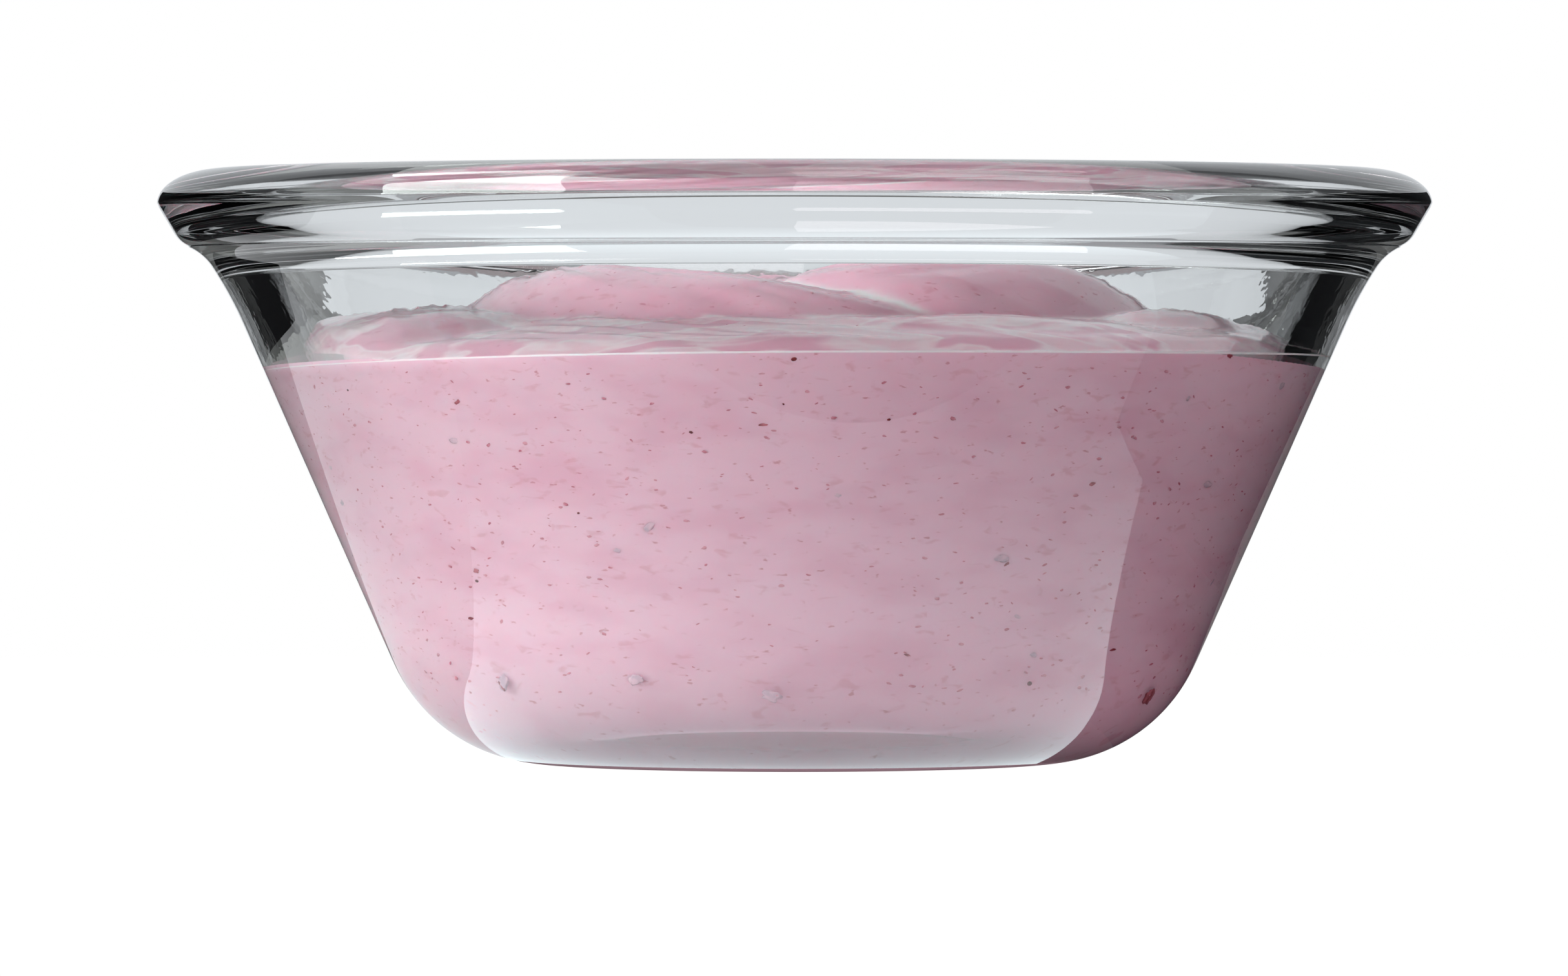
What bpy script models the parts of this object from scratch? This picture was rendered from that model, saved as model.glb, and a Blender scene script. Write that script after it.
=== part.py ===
"""Glass bowl of berry yogurt: a thick pressed-glass bowl with a heavy rolled rim, full of swirled yogurt.

Row frame: metres, +Z up. The origin is the centre of the base ring that the bowl stands on.
"""

import math
from typing import NamedTuple

import bmesh
import bpy

MM = 0.001
TAU = 2.0 * math.pi

# Driving dimensions of the bowl, in millimetres.
FOOT_OUTER_RADIUS = 21.5        # outer edge of the flat ring that it stands on
FOOT_INNER_RADIUS = 15.2        # inner edge of that ring, where the punt begins
PUNT_EDGE_RADIUS = 14.0
PUNT_EDGE_HEIGHT = 0.9
PUNT_CENTRE_HEIGHT = 1.8        # the hollow under the base is a shallow dome
HEEL_RADIUS = 14.3              # outside rounding from foot to wall
WALL_LEAN = math.radians(23.9)  # the wall flares this far from the vertical
WALL_THICKNESS = 3.9            # square to the wall
FLOOR_HEIGHT = 6.0              # top of the glass floor
INNER_HEEL_RADIUS = 9.0
OUTER_FLARE_FROM = 38.0         # the wall bends a little further out above this height
INNER_FLARE_FROM = 39.6
INNER_FLARE_TOP = 43.8          # height where the inner wall meets the rim
FLARE_RATE = 0.0217             # its bend, in mm outwards for each square mm of height

# The rolled rim, in millimetres. Leans are from the vertical.
NECK_START = (50.2, 42.7)       # radius and height where the hollow under the rim begins
NECK_LEAN = math.radians(32.0)
NECK_RADIUS = 4.6
CHIN_START = (52.25, 44.56)     # the rim's lower edge rounds back up from here
CHIN_LEAN = math.radians(67.0)
CHIN_RADIUS = 2.6
NOSE_LEAN = math.radians(30.0)
NOSE_RADIUS, NOSE_HEIGHT = 55.0, 48.2
RIM_TOP_HEIGHT = 51.2
RIM_CROWN_RADIUS = 49.6         # the rim is highest here
RIM_INNER_RADIUS = 46.3

# The yogurt, in millimetres.
CLEARANCE = 0.3                 # gap between the yogurt and the glass
FILL_HEIGHT = 36.0              # level of the yogurt at the wall
FILL_TILT = 0.012               # it stands a little higher at +X
FILL_WAVE = 0.12                # unevenness of that level round the wall
FILL_WAVES_ROUND = 3.0
FILL_WAVE_PHASE = 0.8
EDGE_ROUND = 1.8                # width of the rounded edge at the wall
SHOULDER_RISE = 0.9             # the top swells up just inside the wall
SHOULDER_WIDTH = 3.0
SHOULDER_POWER = 2.0
CONE_RISE = 4.3                 # the level then climbs slowly to the middle
CONE_POWER = 1.5
SWIRL_X, SWIRL_Y = 3.0, 2.0     # centre of the swirl
SWIRL_CENTRE_HEIGHT = 42.9
SWIRL_CENTRE_RADIUS = 7.0       # the folds run out inside this radius
CREASE = 0.5                    # softness of the crease between two folds
FOLD_END_LENGTH = 11.0          # a fold's end slopes down over about this length


class Wave(NamedTuple):
    """A wave by which the folds' arcs wander in and out."""

    waves_round: float
    depth: float
    phase: float


FOLD_WAVES = (Wave(2.0, 0.7, 1.0), Wave(5.0, 0.45, -0.6))


class Fold(NamedTuple):
    """A fold that the spoon left: a ridge along an arc round the swirl's centre.

    Angles are in degrees from +X towards +Y, all other values in millimetres.
    """

    start: float
    end: float
    start_radius: float
    end_radius: float
    start_height: float
    middle_height: float
    end_height: float
    reach_out: float  # the ridge has come down by its drop this far outside the crest
    reach_in: float
    drop: float


FOLDS = (
    # Front left lobe.
    Fold(178.0, 283.0, 24.5, 20.5, 43.5, 43.6, 40.9, 9.0, 15.0, 4.0),
    # Big lobe behind it, which runs down the right side.
    Fold(262.0, 400.0, 12.0, 21.5, 43.7, 44.7, 41.2, 10.0, 13.0, 4.2),
    # Back lobe.
    Fold(70.0, 190.0, 12.0, 22.5, 43.3, 43.7, 41.6, 9.0, 13.0, 4.0),
    # Two low folds in front, one at the right, one at the back and a broad one at the left.
    Fold(208.0, 252.0, 31.0, 32.5, 38.6, 39.0, 38.4, 8.0, 9.0, 2.4),
    Fold(262.0, 312.0, 29.5, 33.5, 38.5, 39.2, 38.5, 8.0, 9.0, 2.4),
    Fold(328.0, 352.0, 29.5, 31.0, 39.5, 40.1, 39.5, 6.0, 8.0, 2.4),
    Fold(20.0, 120.0, 29.0, 31.0, 39.5, 40.1, 39.1, 8.0, 9.0, 2.4),
    Fold(150.0, 208.0, 33.0, 33.0, 40.1, 40.5, 39.9, 12.0, 20.0, 2.0),
)

BOWL_SEGMENTS = 60
YOGURT_SEGMENTS = 72
YOGURT_TOP_RINGS = 26


def smooth_step(share):
    """An S-curve from 0 to 1 as share goes from 0 to 1."""
    held = min(1.0, max(0.0, share))
    return held * held * (3.0 - 2.0 * held)


def smooth_max(first, second, softness):
    """The larger of two heights, with the crease between them rounded."""
    near = max(0.0, softness - abs(first - second)) / softness
    return max(first, second) + near * near * softness / 4.0


def arc(centre, radius, start, end, steps):
    """Points on an arc in the section plane; angles in radians from +r towards +z."""
    return [
        (
            centre[0] + radius * math.cos(start + (end - start) * i / steps),
            centre[1] + radius * math.sin(start + (end - start) * i / steps),
        )
        for i in range(steps + 1)
    ]


def quarter_ellipse(centre, half_width, half_height, start, end, steps):
    """Points on part of an ellipse in the section plane."""
    return [
        (
            centre[0] + half_width * math.cos(start + (end - start) * i / steps),
            centre[1] + half_height * math.sin(start + (end - start) * i / steps),
        )
        for i in range(steps + 1)
    ]


def outer_wall_radius(height):
    """Outside radius of the straight wall at a height."""
    heel_end_r = FOOT_OUTER_RADIUS + HEEL_RADIUS * math.cos(WALL_LEAN)
    heel_end_z = HEEL_RADIUS * (1.0 - math.sin(WALL_LEAN))
    return heel_end_r + (height - heel_end_z) * math.tan(WALL_LEAN)


def inner_wall_radius(height):
    """Inside radius of the straight wall at a height."""
    return outer_wall_radius(height) - WALL_THICKNESS / math.cos(WALL_LEAN)


def flare(wall_radius, start, end, steps):
    """The stretch where a face of the wall bends outwards below the rim, from below up."""
    heights = [start + (end - start) * i / steps for i in range(steps + 1)]
    return [(wall_radius(z) + FLARE_RATE * (z - start) ** 2, z) for z in heights]


def outside_profile():
    """Section of the outside, from the middle of the underside up to the top of the rim."""
    punt = [
        (
            PUNT_EDGE_RADIUS * share,
            PUNT_CENTRE_HEIGHT - (PUNT_CENTRE_HEIGHT - PUNT_EDGE_HEIGHT) * share * share,
        )
        for share in (0.0, 0.4, 0.75, 1.0)
    ]
    foot = [(FOOT_INNER_RADIUS, 0.0)]
    heel = arc(
        (FOOT_OUTER_RADIUS, HEEL_RADIUS), HEEL_RADIUS, -math.pi / 2.0, -WALL_LEAN, 7
    )
    bend = flare(outer_wall_radius, OUTER_FLARE_FROM, NECK_START[1], 3)
    neck_centre = (
        NECK_START[0] + NECK_RADIUS * math.cos(NECK_LEAN),
        NECK_START[1] - NECK_RADIUS * math.sin(NECK_LEAN),
    )
    neck = arc(neck_centre, NECK_RADIUS, math.pi - NECK_LEAN, math.pi - CHIN_LEAN, 3)[1:]
    chin_centre = (
        CHIN_START[0] - CHIN_RADIUS * math.cos(CHIN_LEAN),
        CHIN_START[1] + CHIN_RADIUS * math.sin(CHIN_LEAN),
    )
    chin = arc(chin_centre, CHIN_RADIUS, -CHIN_LEAN, -NOSE_LEAN, 3)
    top = quarter_ellipse(
        (RIM_CROWN_RADIUS, NOSE_HEIGHT),
        NOSE_RADIUS - RIM_CROWN_RADIUS,
        RIM_TOP_HEIGHT - NOSE_HEIGHT,
        0.0,
        math.pi / 2.0,
        5,
    )
    return punt + foot + heel + bend + neck + chin + top


def inside_profile(gap=0.0):
    """Section of the inside, from the inner wall's top down to the middle of the floor.

    With a gap it is the outline of something that fills the bowl and stays that far off the glass.
    """
    floor = FLOOR_HEIGHT + gap
    radius = INNER_HEEL_RADIUS - gap
    lean_shift = gap / math.cos(WALL_LEAN)
    tangent_z = floor + radius * (1.0 - math.sin(WALL_LEAN))
    tangent_r = inner_wall_radius(tangent_z) - lean_shift
    centre = (tangent_r - radius * math.cos(WALL_LEAN), floor + radius)
    heel = arc(centre, radius, -WALL_LEAN, -math.pi / 2.0, 5)
    middle = [(centre[0] * share, floor) for share in (0.5, 0.0)]
    return heel + middle


def bowl_section():
    """The whole section of the glass, from the axis round the outside and back to the axis."""
    lip = quarter_ellipse(
        (RIM_CROWN_RADIUS, NOSE_HEIGHT),
        RIM_CROWN_RADIUS - RIM_INNER_RADIUS,
        RIM_TOP_HEIGHT - NOSE_HEIGHT,
        math.pi / 2.0,
        math.pi,
        4,
    )[1:]
    bend = flare(inner_wall_radius, INNER_FLARE_FROM, INNER_FLARE_TOP, 3)
    return outside_profile() + lip + bend[::-1] + inside_profile()


def fill_level(x, y):
    """Height of the yogurt's edge where it meets the glass."""
    wave = math.sin(FILL_WAVES_ROUND * math.atan2(y, x) + FILL_WAVE_PHASE)
    return FILL_HEIGHT + FILL_TILT * x + FILL_WAVE * wave


def fold_height(fold, rho, theta):
    """Height of one fold at a place, in polar coordinates round the swirl's centre."""
    angle = math.degrees(theta)
    angle += 360.0 * round((0.5 * (fold.start + fold.end) - angle) / 360.0)
    share = (angle - fold.start) / (fold.end - fold.start)
    past_end = math.radians(abs(share - min(1.0, max(0.0, share))) * (fold.end - fold.start))
    chord = fold.start_height + (fold.end_height - fold.start_height) * share
    bow = fold.middle_height - 0.5 * (fold.start_height + fold.end_height)
    crest = chord + bow * 4.0 * share * (1.0 - share)
    across = rho - fold.start_radius - (fold.end_radius - fold.start_radius) * share
    across /= fold.reach_out if across > 0.0 else fold.reach_in
    along = past_end * rho / FOLD_END_LENGTH
    return crest - fold.drop * (across * across + along * along)


def swirl_height(x, y):
    """Height of the yogurt's top at a place: a low cone with the folds of the swirl on it."""
    edge = inner_wall_radius(FILL_HEIGHT)
    level = fill_level(x, y)
    inset = max(0.0, edge - math.hypot(x, y))
    shoulder = 1.0 - (1.0 - min(1.0, inset / SHOULDER_WIDTH)) ** SHOULDER_POWER
    cone = 1.0 - (1.0 - inset / edge) ** CONE_POWER
    height = level + SHOULDER_RISE * shoulder + CONE_RISE * cone
    from_centre = math.hypot(x - SWIRL_X, y - SWIRL_Y)
    theta = math.atan2(y - SWIRL_Y, x - SWIRL_X)
    wander = sum(w.depth * math.sin(w.waves_round * theta + w.phase) for w in FOLD_WAVES)
    for fold in FOLDS:
        height = smooth_max(height, fold_height(fold, from_centre + wander, theta), CREASE)
    outward = 1.0 - min(1.0, inset / EDGE_ROUND)
    height = level + (height - level) * math.sqrt(1.0 - outward * outward)
    share = smooth_step(from_centre / SWIRL_CENTRE_RADIUS)
    return SWIRL_CENTRE_HEIGHT + (height - SWIRL_CENTRE_HEIGHT) * share


def turned_mesh(section, segments):
    """Spins a section about Z into one closed mesh. The section starts and ends on the axis."""
    bm = bmesh.new()
    verts = [bm.verts.new((r * MM, 0.0, z * MM)) for r, z in section]
    edges = [bm.edges.new(pair) for pair in zip(verts, verts[1:])]
    bmesh.ops.spin(
        bm,
        geom=verts + edges,
        cent=(0.0, 0.0, 0.0),
        axis=(0.0, 0.0, 1.0),
        angle=TAU,
        steps=segments,
        use_merge=True,
        use_duplicate=False,
    )
    bmesh.ops.remove_doubles(bm, verts=bm.verts, dist=0.00001)
    bmesh.ops.recalc_face_normals(bm, faces=bm.faces)
    return bm


def plain_material(name, colour, roughness, transmission=0.0):
    """A Principled material."""
    material = bpy.data.materials.new(name)
    material.use_nodes = True
    shader = material.node_tree.nodes["Principled BSDF"]
    shader.inputs["Base Color"].default_value = (*colour, 1.0)
    shader.inputs["Roughness"].default_value = roughness
    shader.inputs["Metallic"].default_value = 0.0
    shader.inputs["Transmission Weight"].default_value = transmission
    return material


def finished_object(name, bm, material, parent):
    """Makes a smooth-shaded object from a bmesh and hangs it on the part's empty."""
    mesh = bpy.data.meshes.new(name)
    bm.to_mesh(mesh)
    bm.free()
    mesh.materials.append(material)
    mesh.shade_smooth()
    mesh.set_sharp_from_angle(angle=math.radians(40.0))
    piece = bpy.data.objects.new(name, mesh)
    piece.parent = parent
    bpy.context.scene.collection.objects.link(piece)
    return piece


def make_bowl(parent):
    """The pressed-glass bowl, one solid."""
    bm = turned_mesh(bowl_section(), BOWL_SEGMENTS)
    glass = plain_material("clear_glass", (0.86, 0.90, 0.90), 0.02, 1.0)
    return finished_object("glass_bowl", bm, glass, parent)


def make_yogurt(parent):
    """The yogurt, one solid that stands clear of the glass, with its swirled top."""
    edge_r = inner_wall_radius(FILL_HEIGHT) - CLEARANCE / math.cos(WALL_LEAN)
    top = [
        (edge_r * ring / YOGURT_TOP_RINGS, FILL_HEIGHT)
        for ring in range(YOGURT_TOP_RINGS + 1)
    ]
    under_side = inside_profile(CLEARANCE)
    bm = turned_mesh(top + under_side, YOGURT_SEGMENTS)
    for vert in bm.verts:
        if vert.co.z > (FILL_HEIGHT - 0.01) * MM:
            x, y = vert.co.x / MM, vert.co.y / MM
            from_axis = math.hypot(x, y)
            vert.co.z = swirl_height(x, y) * MM
            if from_axis > edge_r - 0.01:
                limit = inner_wall_radius(vert.co.z / MM) - CLEARANCE / math.cos(WALL_LEAN)
                vert.co.x *= limit / from_axis
                vert.co.y *= limit / from_axis
    yogurt = plain_material("berry_yogurt", (0.69, 0.42, 0.50), 0.3)
    return finished_object("yogurt", bm, yogurt, parent)


def main():
    """Clears the scene and builds the bowl and the yogurt."""
    for old in list(bpy.data.objects):
        bpy.data.objects.remove(old)
    part = bpy.data.objects.new("yogurt_bowl", None)
    bpy.context.scene.collection.objects.link(part)
    make_bowl(part)
    make_yogurt(part)


main()
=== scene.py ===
"""Looks of a glass bowl of berry yogurt: clear pressed glass, swirled yogurt and bits of fruit.

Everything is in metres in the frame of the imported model. Sizes are written in millimetres and
turned to metres where a mesh is made.
"""

import logging
import math
import random
from dataclasses import dataclass, field
from enum import Enum
from typing import Sequence

import bmesh
import bpy
from mathutils import Matrix, Vector, noise


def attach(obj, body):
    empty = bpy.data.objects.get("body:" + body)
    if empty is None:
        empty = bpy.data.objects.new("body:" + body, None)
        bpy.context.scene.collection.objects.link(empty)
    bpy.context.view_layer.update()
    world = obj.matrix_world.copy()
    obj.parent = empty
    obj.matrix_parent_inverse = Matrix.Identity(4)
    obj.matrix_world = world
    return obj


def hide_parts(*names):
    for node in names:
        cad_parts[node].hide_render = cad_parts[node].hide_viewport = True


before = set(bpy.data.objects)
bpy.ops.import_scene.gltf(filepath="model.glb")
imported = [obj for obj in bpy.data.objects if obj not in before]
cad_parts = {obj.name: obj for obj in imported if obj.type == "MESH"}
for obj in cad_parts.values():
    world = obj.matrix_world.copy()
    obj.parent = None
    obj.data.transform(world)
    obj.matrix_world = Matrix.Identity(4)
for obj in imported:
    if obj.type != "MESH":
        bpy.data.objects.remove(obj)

LOG = logging.getLogger("yogurt_bowl")
MM = 0.001
TAU = 2.0 * math.pi
Point = tuple[float, float]
Place = tuple[float, float, float]
Tree = bpy.types.NodeTree
Socket = bpy.types.NodeSocket
Material = bpy.types.Material
BMesh = bmesh.types.BMesh
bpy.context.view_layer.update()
# Pale film on the front of the top: partly whey, partly painted reflection of the backdrop.
WHEY_AND_SHEEN_ATTRIBUTE = "whey_and_sheen"
# Painted highlight: the white line in the crease between two big folds, kept per vertex.
CREASE_HIGHLIGHT_ATTRIBUTE = "crease_highlight"
WELD_DISTANCE = 0.000005


def linear(hex_colour: str) -> tuple[float, float, float, float]:
    """Turns an sRGB hex colour into the linear values that shaders take.

    Args:
        hex_colour: A mark and six hex digits.

    Returns:
        Linear red, green and blue, and full opacity.
    """
    digits = hex_colour.lstrip("#")
    channels = [int(digits[i : i + 2], 16) / 255.0 for i in (0, 2, 4)]
    red, green, blue = [
        c / 12.92 if c <= 0.04045 else ((c + 0.055) / 1.055) ** 2.4 for c in channels
    ]
    return red, green, blue, 1.0


def add_node(
    tree: Tree,
    kind: str,
    settings: dict[str, object] | None = None,
    inputs: dict[str | int, object] | None = None,
) -> bpy.types.Node:
    """Adds one shader node.

    Args:
        tree: The node tree that gets it.
        kind: The node's type name.
        settings: Properties of the node, by name.
        inputs: Values or sockets for its inputs, by name or number.

    Returns:
        The new node.
    """
    node = tree.nodes.new(kind)
    for name, value in (settings or {}).items():
        setattr(node, name, value)
    for name, value in (inputs or {}).items():
        if isinstance(value, Socket):
            tree.links.new(value, node.inputs[name])
        else:
            node.inputs[name].default_value = value
    return node


def new_material(name: str) -> tuple[Material, Tree]:
    """Starts a material with an empty node tree and its output.

    Args:
        name: The material's name.

    Returns:
        The material and its tree.
    """
    material = bpy.data.materials.new(name)
    material.use_nodes = True
    tree = material.node_tree
    tree.nodes.clear()
    return material, tree


def finish_surface(tree: Tree, shader: bpy.types.Node) -> None:
    """Joins a shader node to the material's output."""
    output = add_node(tree, "ShaderNodeOutputMaterial")
    tree.links.new(shader.outputs[0], output.inputs["Surface"])


def place_in_mm(tree: Tree, stretch: Place = (1.0, 1.0, 1.0)) -> Socket:
    """Gives the place on the object in millimetres, for patterns sized in millimetres.

    Args:
        tree: The material's node tree.
        stretch: How much each axis is squeezed, so 3 along Z makes marks a third as tall.

    Returns:
        The vector socket.
    """
    place = add_node(tree, "ShaderNodeTexCoord")
    scale = tuple(s / MM for s in stretch)
    mapping = add_node(
        tree, "ShaderNodeMapping", inputs={"Vector": place.outputs["Object"], "Scale": scale}
    )
    return mapping.outputs["Vector"]


def noise_value(
    tree: Tree,
    place: Socket,
    size_mm: float,
    detail: float = 2.0,
    distortion: float = 0.0,
) -> Socket:
    """Adds a noise whose marks are about a size across.

    Args:
        tree: The material's node tree.
        place: The place in millimetres.
        size_mm: Size of one mark.
        detail: Octaves.
        distortion: How much the noise bends itself.

    Returns:
        The noise's value socket.
    """
    node = add_node(
        tree,
        "ShaderNodeTexNoise",
        inputs={
            "Vector": place,
            "Scale": 1.0 / size_mm,
            "Detail": detail,
            "Distortion": distortion,
        },
    )
    return node.outputs["Fac"]


def ramp(
    tree: Tree, value: Socket, low: float, high: float, first: float = 0.0, last: float = 1.0
) -> Socket:
    """Turns a value to the first result below low, the last above high, smooth between."""
    ends = {"From Min": low, "From Max": high, "To Min": first, "To Max": last}
    node = add_node(
        tree, "ShaderNodeMapRange", {"interpolation_type": "SMOOTHSTEP"}, {"Value": value} | ends
    )
    return node.outputs["Result"]


def mix_colour(
    tree: Tree,
    share: Socket | float,
    first: object,
    second: object,
    blend: str = "MIX",
) -> Socket:
    """Mixes two colours, values or sockets, by a share."""
    node = add_node(
        tree,
        "ShaderNodeMix",
        {"data_type": "RGBA", "blend_type": blend, "clamp_result": False},
        {0: share, 6: first, 7: second},
    )
    return node.outputs[2]


def times(tree: Tree, first: Socket, second: object) -> Socket:
    """Multiplies two values."""
    node = add_node(tree, "ShaderNodeMath", {"operation": "MULTIPLY"}, {0: first, 1: second})
    return node.outputs[0]


def clamped(share: float) -> float:
    """Keeps a share between 0 and 1."""
    return min(1.0, max(0.0, share))


def smooth_step(share: float) -> float:
    """An S-curve from 0 to 1 as a share goes from 0 to 1."""
    held = clamped(share)
    return held * held * (3.0 - 2.0 * held)


def between(start: Point, end: Point, share: float) -> Point:
    """A point part of the way from one point to another."""
    return start[0] + (end[0] - start[0]) * share, start[1] + (end[1] - start[1]) * share


def arc(
    centre: Point, radius: float, start: float, end: float, steps: int, tall: float = 1.0
) -> list[Point]:
    """Points on an arc or part of an ellipse in the section plane.

    Args:
        centre: Radius and height of its centre.
        radius: Half its width.
        start: Angle of the first point, in radians from outwards towards up.
        end: Angle of the last point.
        steps: How many stretches.
        tall: Half its height over half its width.

    Returns:
        The points in order.
    """
    angles = [start + (end - start) * i / steps for i in range(steps + 1)]
    return [
        (centre[0] + radius * math.cos(a), centre[1] + radius * tall * math.sin(a)) for a in angles
    ]


def stepped(outline: Sequence[Point], longest: float) -> list[Point]:
    """Divides long straight stretches, so that a bend's shading stays at the bend."""
    points = [outline[0]]
    for start, end in zip(outline, outline[1:]):
        steps = max(1, math.ceil(math.dist(start, end) / longest))
        points += [between(start, end, i / steps) for i in range(1, steps + 1)]
    return points


def softened(outline: Sequence[Point]) -> list[Point]:
    """Cuts each corner of an outline once, as fire polishing rounds a pressed edge."""
    stretches = zip(outline, outline[1:])
    cuts = [between(start, end, share) for start, end in stretches for share in (0.25, 0.75)]
    return [outline[0]] + cuts + [outline[-1]]


def turned(outline: Sequence[Point], steps: int) -> BMesh:
    """Spins an outline that starts and ends on the axis into a closed body.

    Args:
        outline: Radius and height of each point, in millimetres.
        steps: How many faces round the axis.

    Returns:
        The body, with its faces pointing out.
    """
    bm = bmesh.new()
    verts = [bm.verts.new((r * MM, 0.0, z * MM)) for r, z in outline]
    edges = [bm.edges.new(pair) for pair in zip(verts, verts[1:])]
    bmesh.ops.spin(
        bm,
        geom=verts + edges,
        cent=(0.0, 0.0, 0.0),
        axis=(0.0, 0.0, 1.0),
        angle=TAU,
        steps=steps,
        use_merge=True,
        use_duplicate=False,
    )
    bmesh.ops.remove_doubles(bm, verts=bm.verts, dist=WELD_DISTANCE)
    bmesh.ops.recalc_face_normals(bm, faces=bm.faces)
    return bm


def finished_piece(name: str, bm: BMesh, materials: Sequence[Material]) -> bpy.types.Object:
    """Makes a smooth-shaded object at the origin from a bmesh.

    Args:
        name: The object's name.
        bm: The mesh, which is freed.
        materials: One for each material slot.

    Returns:
        The object.
    """
    mesh = bpy.data.meshes.new(name)
    bm.to_mesh(mesh)
    bm.free()
    for material in materials:
        mesh.materials.append(material)
    mesh.shade_smooth()
    piece = bpy.data.objects.new(name, mesh)
    bpy.context.scene.collection.objects.link(piece)
    return piece


class GlassFace(Enum):
    """Which face of the glass a finish is for."""

    FIRE_POLISHED = "fire_polished_soda_lime_glass"
    MOULD_RIPPLED = "mould_rippled_soda_lime_glass"


@dataclass(frozen=True)
class PressedGlass:
    """Clear soda-lime glass, pressed in a mould and fire-polished.

    It bends light strongly at its thick rim and shows a faint grey-green in its edges. The plunger
    leaves a slight ripple on the inside wall, which breaks up the dark reflections there.
    """

    face: GlassFace
    tint: str = "#FCFDFD"
    ior: float = 1.52
    roughness: float = 0.0
    ripple_mm: float = 1.1
    ripple_depth_mm: float = 0.006

    def material(self) -> Material:
        """Builds the material."""
        material, tree = new_material(self.face.value)
        shader = add_node(
            tree,
            "ShaderNodeBsdfPrincipled",
            inputs={
                "Base Color": linear(self.tint),
                "Roughness": self.roughness,
                "IOR": self.ior,
                "Transmission Weight": 1.0,
            },
        )
        if self.face is GlassFace.MOULD_RIPPLED:
            ripple = noise_value(tree, place_in_mm(tree), self.ripple_mm, 1.0)
            depth = {"Height": ripple, "Distance": self.ripple_depth_mm * MM}
            bump = add_node(tree, "ShaderNodeBump", inputs=depth)
            tree.links.new(bump.outputs["Normal"], shader.inputs["Normal"])
        finish_surface(tree, shader)
        return material


class Contact(Enum):
    """Which side of the yogurt a finish is for."""

    OPEN_TOP = "wet_stirred_berry_yogurt"
    AGAINST_GLASS = "stirred_berry_yogurt_on_glass"
    # Painted highlight: a thin pale band along the top of the yogurt's side, where it meets the glass.
    THIN_EDGE = "thin_yogurt_edge_on_glass"


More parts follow.
